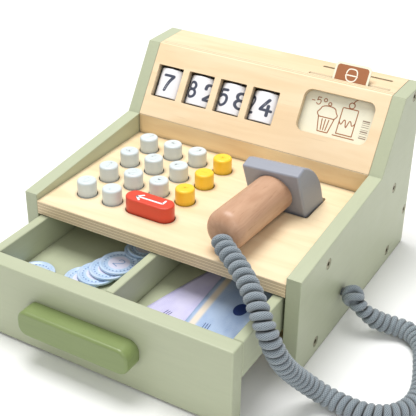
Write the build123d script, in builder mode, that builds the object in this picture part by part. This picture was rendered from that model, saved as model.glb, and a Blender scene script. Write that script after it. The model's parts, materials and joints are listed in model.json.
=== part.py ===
"""Toy cash register of birch ply and painted wood, millimetres, +Z up.

The operator stands on the -Y side. The origin is the centre of the footprint at table level, with the
money drawer standing part open. Depths are measured back from the side panels' front edges.
"""
import os
from math import atan2, cos, hypot, pi, radians, sin, tan

from build123d import *

os.makedirs("parts", exist_ok=True)

# ---- driving dimensions of the housing -------------------------------------------------------------
WIDTH = 248.0                     # over the two side panels
BOARD = 12.0                      # side panels, keyboard plate, top, back and base
DEPTH = 224.0                     # side panels, front to back
FRONT_HEIGHT = 87.5               # front edge of the side panels
KINK_Y, KINK_Z = 148.0, 100.7     # foot of the sloped display
CREST_Y, CREST_Z = 185.0, 157.0   # top of the sloped display
PLATE_TOP = 82.0
FACING = 6.0                      # display panel and riser
SEAM = 0.4                        # bevel round their faces, which shows as a dark line at each joint
BASE_BOTTOM = 6.0
EASE = 0.6                        # eased arrises on every board
PANEL_EASE = 0.8
FRONT_CORNER, REAR_CORNER = 1.6, 4.0     # side panels' corners at the top of the front and at the table
PLATE_BEHIND = 48.0               # how far the keyboard plate runs on under the display

# ---- drawer ------------------------------------------------------------------------------------------
DRAWER_OPEN = 72.0                # front of the drawer ahead of the side panels, as it stands at rest
DRAWER_MORE = 45.0                # how much further it pulls out
DRAWER_TOP = 69.3
DRAWER_GAP = 2.0                  # each side
DRAWER_FRONT = 14.0
FRONT_PANEL_BOTTOM = 1.5
BOX_BOTTOM = 38.3
BOX_LENGTH = 190.0
WALL = 8.0
DIVIDER = 7.0
FLOOR = 4.0
HANDLE_X = (-64.6, 34.4)
HANDLE_Z = (25.0, 47.0)
HANDLE_DEPTH = 15.5
HANDLE_CORNER, HANDLE_EASE = 8.5, 2.4
HANDLE_SCREWS = [(HANDLE_X[0] + 20.0, 33.0), (HANDLE_X[1] - 20.0, 33.0)]     # (right, up)
HANDLE_SCREW_HEAD = (3.6, 2.0)    # radius, thickness
HANDLE_SCREW_BITE = 8.5           # how far a screw goes into the handle
CROSS_SLOT = (3.6, 0.9, 1.2)      # length, width, depth

# ---- keys --------------------------------------------------------------------------------------------
KEY_COLUMNS = (-84.5, -59.5, -34.5, -9.5)
KEY_ROWS = (122.5, 92.0, 61.5, 31.0)
KEY_RADIUS = 8.0
KEY_CLEARANCE = 0.75
KEY_HEIGHT = 13.0                 # above the plate
KEY_TRAVEL = 2.5
FLANGE_RADIUS = 9.6
FLANGE = 1.5
POCKET_RADIUS = 10.0
STEP_DEPTH = 4.5                  # from the plate's top down to the wider pocket
BACKING = 3.0                     # thin board that closes the pockets
KEYBED_MARGIN = 14.0              # from the outer keys' centres to the edge of that board
ENTER_X, ENTER_LENGTH = -23.0, 43.0
SPRING_RADIUS, SPRING_WIRE = 3.6, 0.6
SPRING_LENGTH = 10.0

# ---- number drums --------------------------------------------------------------------------------------
DRUM_COLUMNS = (-93.0, -60.8, -28.6, 3.6)
DRUM_RADIUS = 15.6
DRUM_LENGTH = 26.4
DRUM_FOOT = 20.0                  # up the slope
DRUM_SET_BACK = 0.4               # behind the display's face
AXLE_RADIUS = 1.5
BORE_CLEARANCE = 0.06
WINDOW = (26.0, 29.4)
WINDOW_CENTRE = 33.6              # up the slope
RAIL_SPANS = ((9.0, 17.5), (49.5, 56.5))
RAIL_X = (-112.0, 24.0)
RAIL_DEPTH = 21.7

# ---- category card -------------------------------------------------------------------------------------
CARD_X = 70.0                     # centre of its window and slot
CARD_WINDOW = (64.0, 36.5)
CARD_WINDOW_CENTRE = 39.8
CARD_SLOT = (73.0, 3.0)
CARD = (70.0, 53.0, 1.2)          # body width, body height, thickness
CARD_FOOT = 13.0                  # up the slope
TAB_X, TAB_WIDTH, TAB_TOP = 71.2, 32.0, 87.0
REAR_SLOT_Y, REAR_SLOT_LENGTH, REAR_SLOT_DEPTH = 212.5, 64.0, 9.0
POCKET_BORDER = 4.0               # the pocket's frame, either side of the card's slot
POCKET_SPAN = (8.0, 56.0)         # up the slope
POCKET_BACK = 3.0

# ---- scanner -------------------------------------------------------------------------------------------
HEAD_FOOT = (59.4, 91.2, 80.0)    # middle of its face, where the face meets the plate
HEAD_YAW, HEAD_LEAN, HEAD_ROLL = -1.4, 15.8, 4.8
HEAD_WIDTH, HEAD_HEIGHT, HEAD_THICK = 50.4, 41.6, 30.6
HEAD_CROWN = 11.0                 # flat strip along its top
HEAD_BACK = (24.2, 28.0)          # a point of its rounded back: behind the face, up the face
HEAD_BELOW = (2.3, 11.1)          # how far the front and the back of the head go down into the recess
HANDLE_UP = 19.6                  # handle's axis, up the face
HANDLE_YAW, HANDLE_PITCH = -1.5, -2.4
HANDLE_RADIUS, HANDLE_LENGTH, BUTT_ROUND = 16.3, 80.0, 9.5
HANDLE_SOCKET = 8.0
TENON_RADIUS, TENON_LENGTH = 8.0, 7.0
RECESS_X, RECESS_Y, RECESS_DEPTH = (32.4, 86.5), (88.7, 125.6), 7.0

# ---- cord ----------------------------------------------------------------------------------------------
CORD_OUTER = 16.0                 # over the coils
STRAND = 5.8
CORD_HOLE_Y, CORD_HOLE_Z = 82.0, 30.0
KNOT_RADIUS = 5.4

# ---- screws in the side panels: (back, up) -------------------------------------------------------------
SIDE_SCREWS = ((48.0, 76.0), (182.0, 76.0), (35.0, 12.0), (184.0, 12.0), (218.0, 37.0), (206.0, 151.0))
SCREW_HEAD_RADIUS, SCREW_HEAD, SCREW_SHANK, SCREW_LENGTH = 4.2, 2.6, 2.0, 26.0
SOCKET_RADIUS, SOCKET_DEPTH = 2.0, 1.8
HOLE_CLEARANCE = 0.1

# ---- drawer guides: runners on the base, and a stop that meets a cleat under the drawer ------------------
RUNNER_X, RUNNER_Y = (80.0, 92.0), (20.0, 205.0)
CLEAT_BACK, CLEAT_DEPTH = 4.0, 8.0       # ahead of the drawer's back, and front to back
STOP_HALF, STOP_DEPTH = 15.0, 10.0

# ---- worked out ----------------------------------------------------------------------------------------
HALF = WIDTH / 2
INNER = HALF - BOARD
FRONT = -(DEPTH - DRAWER_OPEN - HANDLE_DEPTH) / 2     # y of the side panels' front edges
SLOPE = atan2(CREST_Z - KINK_Z, CREST_Y - KINK_Y)
SLOPE_LENGTH = hypot(CREST_Z - KINK_Z, CREST_Y - KINK_Y)
PLATE_UNDER = PLATE_TOP - BOARD
BACKING_TOP = PLATE_UNDER + BACKING
BOX_HALF = INNER - DRAWER_GAP
BOX_FRONT = DRAWER_FRONT - DRAWER_OPEN
BOX_BACK = BOX_FRONT + BOX_LENGTH
FLOOR_TOP = BOX_BOTTOM + FLOOR
DRUM_AXIS_DEPTH = DRUM_SET_BACK + DRUM_RADIUS

PLAN = Plane(origin=(0, FRONT, 0), x_dir=(1, 0, 0), z_dir=(0, 0, 1))          # x right, y back
SIDE = Plane(origin=(0, FRONT, 0), x_dir=(0, 1, 0), z_dir=(1, 0, 0))          # x back, y up
FACE = Plane(origin=(0, FRONT, 0), x_dir=(1, 0, 0), z_dir=(0, -1, 0))         # x right, y up, out to front
DISPLAY = Plane(origin=(0, FRONT + KINK_Y, KINK_Z), x_dir=(1, 0, 0), z_dir=(0, -sin(SLOPE), cos(SLOPE)))


def save(piece, label):
    """Label one finished piece and write its STEP file."""
    piece.part.label = label
    export_step(piece.part, f"parts/{label}.step")


def middle(span):
    return (span[0] + span[1]) / 2


def plain_board(label, x, y, z, ease=EASE):
    """A rectangular board or strip between two corners, with eased arrises."""
    with BuildPart() as board:
        with BuildSketch(PLAN.offset(z[0])):
            with Locations((middle(x), middle(y))):
                Rectangle(x[1] - x[0], y[1] - y[0])
        extrude(amount=z[1] - z[0])
        chamfer(board.edges(), ease)
    save(board, label)


def across(span):
    """The side plane moved to one end of a span along X, and the length to extrude."""
    return SIDE.offset(span[0]), span[1] - span[0]


# ---- side panels ---------------------------------------------------------------------------------------
def side_panel(label, side, with_cord_hole):
    outside = SIDE.offset(side * HALF)
    with BuildPart() as panel:
        with BuildSketch(outside):
            with BuildLine():
                Polyline((0, 0), (0, FRONT_HEIGHT), (KINK_Y, KINK_Z), (CREST_Y, CREST_Z), (DEPTH, CREST_Z),
                         (DEPTH, 0), close=True)
            outline = make_face()
            fillet(outline.vertices().sort_by_distance((DEPTH, 0))[0], REAR_CORNER)
            fillet(outline.vertices().sort_by_distance((0, FRONT_HEIGHT))[0], FRONT_CORNER)
        extrude(amount=-side * BOARD)
        fillet(panel.faces().filter_by(Axis.X).edges(), PANEL_EASE)
        with BuildSketch(outside):
            with Locations(*SIDE_SCREWS):
                Circle(SCREW_HEAD_RADIUS + 0.3)
        extrude(amount=-side * (SCREW_HEAD + 0.3), mode=Mode.SUBTRACT)
        with BuildSketch(outside):
            with Locations(*SIDE_SCREWS):
                Circle(SCREW_SHANK + HOLE_CLEARANCE)
            if with_cord_hole:
                with Locations((CORD_HOLE_Y, CORD_HOLE_Z)):
                    Circle(STRAND / 2 + 0.6)
        extrude(amount=-side * BOARD, mode=Mode.SUBTRACT)
    save(panel, label)


def side_screws():
    """Flush hexagon-socket furniture screws, six in each side panel."""
    with BuildPart() as screws:
        for side in (-1, 1):
            outside = SIDE.offset(side * (HALF - 0.2))
            with BuildSketch(outside):
                with Locations(*SIDE_SCREWS):
                    Circle(SCREW_HEAD_RADIUS)
            extrude(amount=-side * SCREW_HEAD)
            with BuildSketch(outside):
                with Locations(*SIDE_SCREWS):
                    Circle(SCREW_SHANK)
            extrude(amount=-side * SCREW_LENGTH)
            with BuildSketch(outside):
                with Locations(*SIDE_SCREWS):
                    RegularPolygon(SOCKET_RADIUS, 6)
            extrude(amount=-side * SOCKET_DEPTH, mode=Mode.SUBTRACT)
    save(screws, "side_screws")


def drill_for_side_screws(points):
    """Pilot holes for the side screws, from both ends of the board being built."""
    for side in (-1, 1):
        with BuildSketch(SIDE.offset(side * INNER)) as holes:
            with Locations(*points):
                Circle(SCREW_SHANK + HOLE_CLEARANCE)
        extrude(holes.sketch, amount=-side * (SCREW_LENGTH - BOARD + 2.0), mode=Mode.SUBTRACT)


# ---- boards between the side panels ----------------------------------------------------------------------
def base_board():
    start, length = across((-INNER, INNER))
    with BuildPart() as board:
        with BuildSketch(start):
            with Locations((DRAWER_FRONT + 1.5, BASE_BOTTOM)):
                Rectangle(DEPTH - BOARD - DRAWER_FRONT - 1.5, BOARD, align=(Align.MIN, Align.MIN))
        extrude(amount=length)
        drill_for_side_screws(SIDE_SCREWS[2:4])
    save(board, "base_board")


def back_panel():
    start, length = across((-INNER, INNER))
    with BuildPart() as board:
        with BuildSketch(start):
            with Locations((DEPTH - BOARD, BASE_BOTTOM)):
                Rectangle(BOARD, CREST_Z - BOARD - BASE_BOTTOM, align=(Align.MIN, Align.MIN))
        extrude(amount=length)
        drill_for_side_screws(SIDE_SCREWS[4:5])
    save(board, "back_panel")


def facing_point(up, depth):
    """A point of the display's cross-section in the side plane: so far up the slope, so far behind its face."""
    return (KINK_Y + up * cos(SLOPE) + depth * sin(SLOPE), KINK_Z + up * sin(SLOPE) - depth * cos(SLOPE))


def riser_board():
    start, length = across((-INNER, INNER))
    mitre = (FACING - FACING * sin(SLOPE)) / cos(SLOPE)
    with BuildPart() as board:
        with BuildSketch(start):
            with BuildLine():
                Polyline((KINK_Y, PLATE_TOP), (KINK_Y, KINK_Z - 0.1), facing_point(mitre, FACING + 0.1),
                         (KINK_Y + FACING, PLATE_TOP), close=True)
            make_face()
        extrude(amount=length)
        chamfer(board.faces().sort_by(Axis.Y)[0].edges(), SEAM)
    save(board, "riser_board")


def display_panel():
    start, length = across((-INNER, INNER))
    mitre = (FACING - FACING * sin(SLOPE)) / cos(SLOPE)
    with BuildPart() as board:
        with BuildSketch(start):
            with BuildLine():
                Polyline((KINK_Y, KINK_Z), (CREST_Y, CREST_Z), (CREST_Y + FACING / sin(SLOPE), CREST_Z),
                         facing_point(mitre, FACING), close=True)
            make_face()
        extrude(amount=length)
        chamfer(board.faces().filter_by(DISPLAY).sort_by(Axis.Z)[-1].edges(), SEAM)
        with BuildSketch(DISPLAY.offset(1)):
            with Locations(*[(x, WINDOW_CENTRE) for x in DRUM_COLUMNS]):
                RectangleRounded(*WINDOW, 0.8)
            with Locations((CARD_X, CARD_WINDOW_CENTRE)):
                RectangleRounded(*CARD_WINDOW, 7.0)
        extrude(amount=-(FACING + 2), mode=Mode.SUBTRACT)
        openings = board.faces().filter_by(DISPLAY).sort_by(Axis.Z)[-1].inner_wires()
        chamfer([edge for wire in openings for edge in wire.edges()], 0.5)
    save(board, "display_panel")


def top_board():
    start, length = across((-INNER, INNER))
    seam = CREST_Y + FACING / sin(SLOPE)
    with BuildPart() as board:
        with BuildSketch(start):
            with BuildLine():
                Polyline((seam, CREST_Z), (DEPTH, CREST_Z), (DEPTH, CREST_Z - BOARD),
                         (seam - BOARD / tan(SLOPE), CREST_Z - BOARD), close=True)
            make_face()
        extrude(amount=length)
        with BuildSketch(DISPLAY.offset(-FACING)):
            with Locations((CARD_X, SLOPE_LENGTH)):
                Rectangle(CARD_SLOT[0], 60)
        extrude(amount=-CARD_SLOT[1], mode=Mode.SUBTRACT)
        with BuildSketch(PLAN.offset(CREST_Z)):
            with Locations((CARD_X, REAR_SLOT_Y)):
                SlotOverall(REAR_SLOT_LENGTH, CARD_SLOT[1])
        extrude(amount=-REAR_SLOT_DEPTH, mode=Mode.SUBTRACT)
        drill_for_side_screws(SIDE_SCREWS[5:6])
    save(board, "top_board")


KEY_POSITIONS = [(x, y) for y in KEY_ROWS for x in KEY_COLUMNS
                 if not (y == KEY_ROWS[-1] and x in KEY_COLUMNS[2:])]
ENTER_AT = (ENTER_X, KEY_ROWS[-1])
KEYBED_X = (KEY_COLUMNS[0] - KEYBED_MARGIN, KEY_COLUMNS[-1] + KEYBED_MARGIN)
KEYBED_Y = (KEY_ROWS[-1] - KEYBED_MARGIN, KEY_ROWS[0] + KEYBED_MARGIN)


def keyboard_plate():
    start, length = across((-INNER, INNER))
    with BuildPart() as plate:
        with BuildSketch(start):
            with Locations((0, PLATE_UNDER)):
                Rectangle(KINK_Y + PLATE_BEHIND, BOARD, align=(Align.MIN, Align.MIN))
        extrude(amount=length)
        chamfer(plate.edges().filter_by(Axis.X).sort_by(Axis.Y)[:2], 0.4)
        with BuildSketch(PLAN.offset(PLATE_TOP)):
            with Locations(*KEY_POSITIONS):
                Circle(KEY_RADIUS + KEY_CLEARANCE)
            with Locations(ENTER_AT):
                SlotOverall(ENTER_LENGTH + 2 * KEY_CLEARANCE, 2 * (KEY_RADIUS + KEY_CLEARANCE))
        extrude(amount=-BOARD, mode=Mode.SUBTRACT)
        with BuildSketch(PLAN.offset(PLATE_TOP - STEP_DEPTH)):
            with Locations(*KEY_POSITIONS):
                Circle(POCKET_RADIUS)
            with Locations(ENTER_AT):
                SlotOverall(ENTER_LENGTH + 2 * (POCKET_RADIUS - KEY_RADIUS), 2 * POCKET_RADIUS)
        extrude(amount=-BOARD, mode=Mode.SUBTRACT)
        with BuildSketch(PLAN.offset(PLATE_UNDER)):
            with Locations((middle(KEYBED_X), middle(KEYBED_Y))):
                Rectangle(KEYBED_X[1] - KEYBED_X[0], KEYBED_Y[1] - KEYBED_Y[0])
        extrude(amount=BACKING, mode=Mode.SUBTRACT)
        with BuildSketch(PLAN.offset(PLATE_TOP)):
            with Locations((middle(RECESS_X), middle(RECESS_Y))):
                RectangleRounded(RECESS_X[1] - RECESS_X[0], RECESS_Y[1] - RECESS_Y[0], 2.0)
        extrude(amount=-RECESS_DEPTH, mode=Mode.SUBTRACT)
        drill_for_side_screws(SIDE_SCREWS[0:2])
    save(plate, "keyboard_plate")


# ---- keys and their springs ------------------------------------------------------------------------------
KEY_FOOT = PLATE_TOP - STEP_DEPTH - 0.1 - FLANGE
SPRING_SEAT = BACKING_TOP + SPRING_LENGTH
ENTER_SPRINGS = [(ENTER_X + offset, KEY_ROWS[-1]) for offset in (-13.0, 13.0)]


def round_key(label, x, y):
    with BuildPart(PLAN.offset(KEY_FOOT)) as key:
        with Locations((x, y)):
            Cylinder(KEY_RADIUS, PLATE_TOP + KEY_HEIGHT - KEY_FOOT, align=(Align.CENTER, Align.CENTER, Align.MIN))
            fillet(key.edges().sort_by(Axis.Z)[-1], 1.8)
            Cylinder(FLANGE_RADIUS, FLANGE, align=(Align.CENTER, Align.CENTER, Align.MIN))
            Cylinder(SPRING_RADIUS + 0.6, SPRING_SEAT - KEY_FOOT, mode=Mode.SUBTRACT,
                     align=(Align.CENTER, Align.CENTER, Align.MIN))
    save(key, label)


def enter_key():
    with BuildPart() as key:
        with BuildSketch(PLAN.offset(KEY_FOOT)):
            with Locations(ENTER_AT):
                SlotOverall(ENTER_LENGTH, 2 * KEY_RADIUS)
        extrude(amount=PLATE_TOP + KEY_HEIGHT - KEY_FOOT)
        fillet(key.faces().sort_by(Axis.Z)[-1].edges(), 1.2)
        with BuildSketch(PLAN.offset(KEY_FOOT)):
            with Locations(ENTER_AT):
                SlotOverall(ENTER_LENGTH + 2 * (FLANGE_RADIUS - KEY_RADIUS), 2 * FLANGE_RADIUS)
        extrude(amount=FLANGE)
        with BuildSketch(PLAN.offset(KEY_FOOT)):
            with Locations(*ENTER_SPRINGS):
                Circle(SPRING_RADIUS + 0.6)
        extrude(amount=SPRING_SEAT - KEY_FOOT, mode=Mode.SUBTRACT)
    save(key, "enter_key")


def key_springs():
    """One spring under each round key and two under the long key, each as the sleeve its coils fill."""
    with BuildPart() as springs:
        with BuildSketch(PLAN.offset(BACKING_TOP)):
            with Locations(*KEY_POSITIONS, *ENTER_SPRINGS):
                Circle(SPRING_RADIUS)
                Circle(SPRING_RADIUS - SPRING_WIRE, mode=Mode.SUBTRACT)
        extrude(amount=SPRING_LENGTH)
    save(springs, "key_springs")


# ---- number drums ----------------------------------------------------------------------------------------
DRUM_END = Plane(origin=DISPLAY.from_local_coords((0, DRUM_FOOT, -DRUM_AXIS_DEPTH)), x_dir=(1, 0, 0),
                 z_dir=(0, cos(SLOPE), sin(SLOPE)))          # local x right, local z up the slope


def number_drum(label, x):
    with BuildPart(DRUM_END) as drum:
        with Locations((x, 0)):
            Cylinder(DRUM_RADIUS, DRUM_LENGTH, align=(Align.CENTER, Align.CENTER, Align.MIN))
            chamfer(drum.edges(), 0.5)
            Cylinder(AXLE_RADIUS + BORE_CLEARANCE, DRUM_LENGTH, mode=Mode.SUBTRACT,
                     align=(Align.CENTER, Align.CENTER, Align.MIN))
    save(drum, label)


def drum_axles():
    foot, crest = RAIL_SPANS[0][0] + 2.0, RAIL_SPANS[1][1] - 2.0
    with BuildPart() as axles:
        with BuildSketch(DRUM_END.offset(foot - DRUM_FOOT)):
            with Locations(*[(x, 0) for x in DRUM_COLUMNS]):
                Circle(AXLE_RADIUS)
        extrude(amount=crest - foot)
    save(axles, "drum_axles")


def drum_rail(label, span):
    """A strip glued behind the display, bored for the ends of the four axles."""
    with BuildPart() as rail:
        with BuildSketch(DISPLAY.offset(-FACING)):
            with Locations((middle(RAIL_X), middle(span))):
                Rectangle(RAIL_X[1] - RAIL_X[0], span[1] - span[0])
        extrude(amount=-(RAIL_DEPTH - FACING))
        with BuildSketch(DRUM_END.offset(span[0] - DRUM_FOOT)):
            with Locations(*[(x, 0) for x in DRUM_COLUMNS]):
                Circle(AXLE_RADIUS)
        extrude(amount=span[1] - span[0], mode=Mode.SUBTRACT)
    save(rail, label)


# ---- category card and its pocket --------------------------------------------------------------------------
def pocket_outline():
    """The pocket's outer rectangle, as seen from in front of the display."""
    with Locations((CARD_X, POCKET_SPAN[0])):
        Rectangle(CARD_SLOT[0] + 2 * POCKET_BORDER, POCKET_SPAN[1] - POCKET_SPAN[0], align=(Align.CENTER, Align.MIN))


def card_pocket_frame():
    with BuildPart() as frame:
        with BuildSketch(DISPLAY.offset(-FACING)):
            pocket_outline()
            with Locations((CARD_X, CARD_FOOT - 0.4)):
                Rectangle(CARD_SLOT[0], POCKET_SPAN[1], align=(Align.CENTER, Align.MIN), mode=Mode.SUBTRACT)
        extrude(amount=-CARD_SLOT[1])
    save(frame, "card_pocket_frame")


def card_pocket_back():
    with BuildPart() as back:
        with BuildSketch(DISPLAY.offset(-FACING - CARD_SLOT[1])):
            pocket_outline()
        extrude(amount=-POCKET_BACK)
    save(back, "card_pocket_back")


def category_card():
    width, height, thickness = CARD
    with BuildPart() as card:
        with BuildSketch(DISPLAY.offset(-FACING - 0.5)):
            with Locations((CARD_X, CARD_FOOT)):
                Rectangle(width, height, align=(Align.CENTER, Align.MIN))
            with Locations((TAB_X, TAB_TOP)):
                RectangleRounded(TAB_WIDTH, TAB_TOP - CARD_FOOT - height + 8.0, 4.0, align=(Align.CENTER, Align.MAX))
        extrude(amount=-thickness)
    save(card, "category_card")


# ---- drawer ------------------------------------------------------------------------------------------------
def drawer_front():
    with BuildPart() as front:
        with BuildSketch(FACE.offset(-BOX_FRONT)):
            with Locations((0, FRONT_PANEL_BOTTOM)):
                Rectangle(2 * BOX_HALF, DRAWER_TOP - FRONT_PANEL_BOTTOM, align=(Align.CENTER, Align.MIN))
        extrude(amount=DRAWER_FRONT)
        fillet(front.edges(), 1.2)
        with BuildSketch(FACE.offset(DRAWER_OPEN + 1)):
            with Locations(*HANDLE_SCREWS):
                Circle(SCREW_SHANK + HOLE_CLEARANCE)
        extrude(amount=-(DRAWER_FRONT + 2), mode=Mode.SUBTRACT)
    save(front, "drawer_front")


def drawer_handle():
    """A bar with rounded ends, as seen from the front, and a softened front edge."""
    length, height = HANDLE_X[1] - HANDLE_X[0], HANDLE_Z[1] - HANDLE_Z[0]
    with BuildPart() as bar:
        with BuildSketch(FACE.offset(DRAWER_OPEN)):
            with Locations((middle(HANDLE_X), middle(HANDLE_Z))):
                Rectangle(length, height)
        extrude(amount=HANDLE_DEPTH)
        fillet(bar.edges().filter_by(Axis.Y), HANDLE_CORNER)
        fillet(bar.faces().sort_by(Axis.Y)[0].edges(), HANDLE_EASE)
        with BuildSketch(FACE.offset(DRAWER_OPEN)):
            with Locations(*HANDLE_SCREWS):
                Circle(SCREW_SHANK)
        extrude(amount=HANDLE_SCREW_BITE + 0.5, mode=Mode.SUBTRACT)
    save(bar, "drawer_handle")


def handle_screws():
    """Cross-slotted screws from inside the drawer into the handle."""
    head_radius, head = HANDLE_SCREW_HEAD
    slot_length, slot_width, slot_depth = CROSS_SLOT
    inside = FACE.offset(-BOX_FRONT)
    with BuildPart() as screws:
        with BuildSketch(inside):
            with Locations(*HANDLE_SCREWS):
                Circle(head_radius)
        extrude(amount=-head)
        with BuildSketch(inside):
            with Locations(*HANDLE_SCREWS):
                Circle(SCREW_SHANK)
        extrude(amount=DRAWER_FRONT + HANDLE_SCREW_BITE)
        with BuildSketch(inside.offset(-head)):
            with Locations(*HANDLE_SCREWS):
                Rectangle(slot_length, slot_width)
                Rectangle(slot_width, slot_length)
        extrude(amount=slot_depth, mode=Mode.SUBTRACT)
    save(screws, "handle_screws")


def drawer_boards():
    z = (BOX_BOTTOM, DRAWER_TOP)
    inside = BOX_HALF - WALL
    plain_board("drawer_left_wall", (-BOX_HALF, -inside), (BOX_FRONT, BOX_BACK), z)
    plain_board("drawer_right_wall", (inside, BOX_HALF), (BOX_FRONT, BOX_BACK), z)
    plain_board("drawer_back_wall", (-inside, inside), (BOX_BACK - WALL, BOX_BACK), z)
    plain_board("drawer_divider", (-DIVIDER / 2, DIVIDER / 2), (BOX_FRONT, BOX_BACK - WALL),
                (FLOOR_TOP, DRAWER_TOP))
    plain_board("drawer_floor", (-inside, inside), (BOX_FRONT, BOX_BACK - WALL), (BOX_BOTTOM, FLOOR_TOP), 0.2)


def drawer_guides():
    base_top = BASE_BOTTOM + BOARD
    z = (base_top, BOX_BOTTOM - 0.2)
    plain_board("right_runner", RUNNER_X, RUNNER_Y, z, 0.4)
    plain_board("left_runner", (-RUNNER_X[1], -RUNNER_X[0]), RUNNER_Y, z, 0.4)
    cleat = (BOX_BACK - CLEAT_BACK - CLEAT_DEPTH, BOX_BACK - CLEAT_BACK)
    reach = cleat[0] - DRAWER_MORE - 0.5
    width = (-STOP_HALF, STOP_HALF)
    plain_board("drawer_stop_block", width, (reach - STOP_DEPTH, reach), (base_top, BOX_BOTTOM - 2.0))
    plain_board("drawer_stop_cleat", width, cleat, (base_top + 4.0, BOX_BOTTOM))


# ---- play money --------------------------------------------------------------------------------------------
COIN_RADIUS, COIN = 16.0, 2.2
COINS = [(-86.0, -39.0, 0), (-48.0, -22.0, 0), (-37.0, -8.0, 1), (-35.5, -6.5, 2), (-38.0, -5.0, 3),
         (-24.0, 24.5, 0), (-25.0, 26.0, 1), (-23.0, 25.5, 2), (-25.5, 24.5, 3), (-24.0, 26.5, 4)]


def play_coins():
    with BuildPart() as coins:
        for x, y, level in COINS:
            with BuildSketch(PLAN.offset(FLOOR_TOP + level * COIN)):
                with Locations((x, y)):
                    Circle(COIN_RADIUS)
            extrude(amount=COIN - 0.05)
    save(coins, "play_coins")


NOTE = (46.0, 88.0, 0.8)
NOTES = [(41.0, -9.0, -14.0), (68.0, -6.0, 4.0)]


def play_notes():
    with BuildPart() as notes:
        for level, (x, y, turn) in enumerate(NOTES):
            with BuildSketch(PLAN.offset(FLOOR_TOP + level * (NOTE[2] + 0.1))):
                with Locations(Location((x, y, 0), turn)):
                    Rectangle(NOTE[0], NOTE[1])
            extrude(amount=NOTE[2])
    save(notes, "play_notes")


# ---- scanner -------------------------------------------------------------------------------------------
def aimed(yaw, pitch):
    """A direction towards the operator, turned by yaw and dipped by pitch."""
    return Vector(sin(yaw) * cos(pitch), -cos(yaw) * cos(pitch), -sin(pitch))


LEVEL = Vector(cos(radians(HEAD_YAW)), sin(radians(HEAD_YAW)), 0)
FACE_OUT = aimed(radians(HEAD_YAW), radians(HEAD_LEAN))
ACROSS = LEVEL * cos(radians(HEAD_ROLL)) + FACE_OUT.cross(LEVEL) * sin(radians(HEAD_ROLL))
FOOT = Vector(HEAD_FOOT[0], HEAD_FOOT[1] + FRONT, HEAD_FOOT[2])
HEAD_SIDE = Plane(origin=FOOT, x_dir=FACE_OUT * -1, z_dir=ACROSS)        # local x back, local y up the face
HANDLE_PLANE = Plane(origin=HEAD_SIDE.from_local_coords((0, HANDLE_UP, 0)), x_dir=(1, 0, 0),
                     z_dir=aimed(radians(HANDLE_YAW), radians(HANDLE_PITCH)))


def scanner_head():
    """A block with a leaning face and a rounded back, wider than it is tall."""
    crown, foot = (HEAD_CROWN, HEAD_HEIGHT), (HEAD_THICK, 0)
    with BuildPart() as head:
        with BuildSketch(HEAD_SIDE.offset(-HEAD_WIDTH / 2)):
            with BuildLine():
                ThreePointArc(crown, HEAD_BACK, foot)
                Polyline(foot, (HEAD_THICK, -HEAD_BELOW[1]), (0, -HEAD_BELOW[0]), (0, HEAD_HEIGHT), crown)
            make_face()
        extrude(amount=HEAD_WIDTH)
        fillet(head.edges(), 1.8)
        with BuildSketch(HANDLE_PLANE.offset(-HANDLE_SOCKET)):
            Circle(HANDLE_RADIUS)
        extrude(amount=2 * HANDLE_SOCKET, mode=Mode.SUBTRACT)
        with BuildSketch(HANDLE_PLANE.offset(-HANDLE_SOCKET)):
            Circle(TENON_RADIUS)
        extrude(amount=-TENON_LENGTH, mode=Mode.SUBTRACT)
    save(head, "scanner_head")


def scanner_handle():
    with BuildPart() as handle:
        with BuildSketch(HANDLE_PLANE.offset(-HANDLE_SOCKET)):
            Circle(HANDLE_RADIUS)
        extrude(amount=HANDLE_LENGTH + HANDLE_SOCKET)
        fillet(handle.edges().filter_by(GeomType.CIRCLE).sort_by(Axis.Y)[0], BUTT_ROUND)
        with BuildSketch(HANDLE_PLANE.offset(-HANDLE_SOCKET)):
            Circle(TENON_RADIUS)
        extrude(amount=-(TENON_LENGTH - 0.5))
    save(handle, "scanner_handle")


# ---- cord --------------------------------------------------------------------------------------------------
BUTT = HANDLE_PLANE.from_local_coords((0, 0, HANDLE_LENGTH + 0.3))
BUTT_AHEAD = HANDLE_PLANE.from_local_coords((0, 0, HANDLE_LENGTH + 5.9))
CORD_ROUTE = [
    (BUTT.X, BUTT.Y - FRONT, BUTT.Z), (BUTT_AHEAD.X, BUTT_AHEAD.Y - FRONT, BUTT_AHEAD.Z), (58.2, -4.6, 101.2),
    (64.0, -8.4, 100.2), (73.2, -12.8, 98.6), (82.6, -18.4, 97.0), (92.5, -25.2, 95.0), (102.0, -33.0, 92.4),
    (111.0, -41.0, 88.0), (118.8, -46.6, 80.2), (125.2, -48.5, 69.5), (129.8, -45.8, 57.0), (133.2, -39.0, 44.0),
    (137.5, -29.5, 31.0), (144.5, -20.2, 18.5), (155.0, -15.0, 9.8), (169.0, -15.8, 8.6), (184.0, -16.2, 8.5),
    (198.0, -12.0, 8.6), (208.0, -1.5, 8.5), (212.5, 13.0, 8.6), (211.5, 29.0, 8.5), (207.0, 45.0, 8.6),
    (201.5, 61.0, 8.5), (195.5, 76.5, 8.6), (185.0, 87.5, 8.5), (171.0, 89.4, 8.8), (161.0, 85.2, 10.8),
    (152.5, 82.4, 15.0), (143.6, 81.8, 21.8), (134.2, CORD_HOLE_Y, CORD_HOLE_Z),
    (HALF + 0.4, CORD_HOLE_Y, CORD_HOLE_Z),
]


def bend_radii(points):
    """The largest arc at each corner that leaves a little of both runs straight."""
    radii = []
    for before, here, after in zip(points, points[1:], points[2:]):
        run_in, run_out = here - before, after - here
        turn = radians(run_in.get_angle(run_out))
        radii.append(0.45 * min(run_in.length, run_out.length) / tan(turn / 2))
    return radii


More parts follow.
